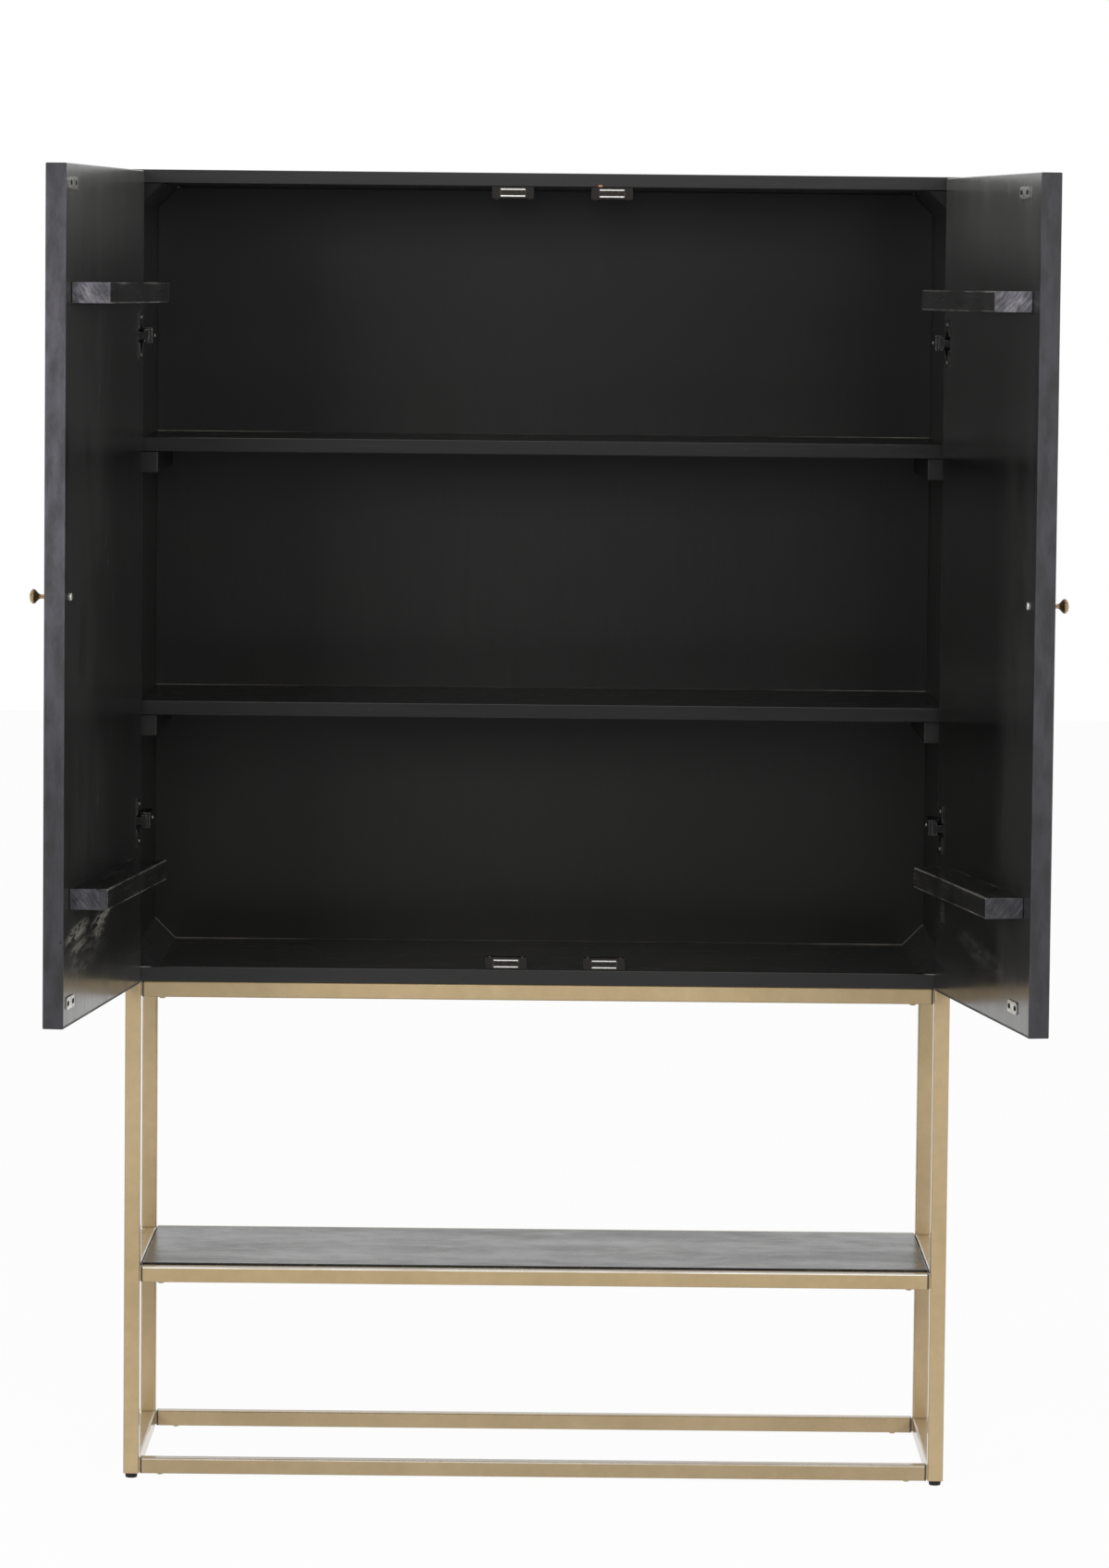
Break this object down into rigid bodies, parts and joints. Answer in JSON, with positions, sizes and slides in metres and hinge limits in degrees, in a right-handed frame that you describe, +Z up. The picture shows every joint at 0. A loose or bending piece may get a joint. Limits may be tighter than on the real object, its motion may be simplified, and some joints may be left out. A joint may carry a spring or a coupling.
{
  "type": "highboard",
  "caption": "Tall black cupboard with hinged doors over open shelves, standing on a slim square-tube gold frame with a low shelf.",
  "frame": {"origin": "on the floor, under the middle of the box round the whole object with its doors open as pictured", "axes": "+Z up, -Y the front that the doors open towards, +X to the right seen from the front"},
  "size_m": [1.1802, 0.8488, 1.59],
  "materials": {
    "black_lacquer": "satin black lacquer on board",
    "gold_tube": "satin champagne gold on steel tube",
    "black_plastic": "matte black",
    "nickel_plate": "nickel plated",
    "hinge_steel": "dark zinc plated",
    "aged_brass": "aged, dark in the recesses"
  },
  "bodies": {
    "cabinet": {"left_side_frame": "gold_tube", "right_side_frame": "gold_tube", "front_top_rail": "gold_tube", "front_middle_rail": "gold_tube", "front_bottom_rail": "gold_tube", "rear_top_rail": "gold_tube", "rear_middle_rail": "gold_tube", "rear_bottom_rail": "gold_tube", "front_left_foot": "black_plastic", "front_right_foot": "black_plastic", "rear_left_foot": "black_plastic", "rear_right_foot": "black_plastic", "base_shelf": "black_lacquer", "top_panel": "black_lacquer", "bottom_panel": "black_lacquer", "left_side_panel": "black_lacquer", "right_side_panel": "black_lacquer", "back_panel": "black_lacquer", "upper_shelf": "black_lacquer", "lower_shelf": "black_lacquer", "upper_left_cleat": "black_lacquer", "upper_right_cleat": "black_lacquer", "lower_left_cleat": "black_lacquer", "lower_right_cleat": "black_lacquer", "top_left_corner_strip": "black_lacquer", "top_right_corner_strip": "black_lacquer", "bottom_left_corner_strip": "black_lacquer", "bottom_right_corner_strip": "black_lacquer", "top_left_catch": "black_plastic", "top_right_catch": "black_plastic", "bottom_left_catch": "black_plastic", "bottom_right_catch": "black_plastic", "top_left_magnet": "nickel_plate", "top_right_magnet": "nickel_plate", "bottom_left_magnet": "nickel_plate", "bottom_right_magnet": "nickel_plate", "left_upper_hinge_arm": "hinge_steel", "left_lower_hinge_arm": "hinge_steel", "right_upper_hinge_arm": "hinge_steel", "right_lower_hinge_arm": "hinge_steel"},
    "left_leaf": {"left_door": "black_lacquer", "left_upper_batten": "black_lacquer", "left_lower_batten": "black_lacquer", "left_knob": "aged_brass", "left_top_strike": "nickel_plate", "left_bottom_strike": "nickel_plate", "left_upper_hinge_cup": "hinge_steel", "left_lower_hinge_cup": "hinge_steel", "left_upper_hinge_pin": "hinge_steel", "left_lower_hinge_pin": "hinge_steel"},
    "right_leaf": {"right_door": "black_lacquer", "right_upper_batten": "black_lacquer", "right_lower_batten": "black_lacquer", "right_knob": "aged_brass", "right_top_strike": "nickel_plate", "right_bottom_strike": "nickel_plate", "right_upper_hinge_cup": "hinge_steel", "right_lower_hinge_cup": "hinge_steel", "right_upper_hinge_pin": "hinge_steel", "right_lower_hinge_pin": "hinge_steel"}
  },
  "joints": [
    {"name": "left_door_swing", "type": "hinge", "parent": "cabinet", "child": "left_leaf", "pos_m": [-0.50077, 0.06282, 1.09825], "axis": [0, 0, 1], "range_deg": [-8.5, 96.5]},
    {"name": "right_door_swing", "type": "hinge", "parent": "cabinet", "child": "right_leaf", "pos_m": [0.48123, 0.06282, 1.09825], "axis": [0, 0, 1], "range_deg": [-99, 6]}
  ]
}
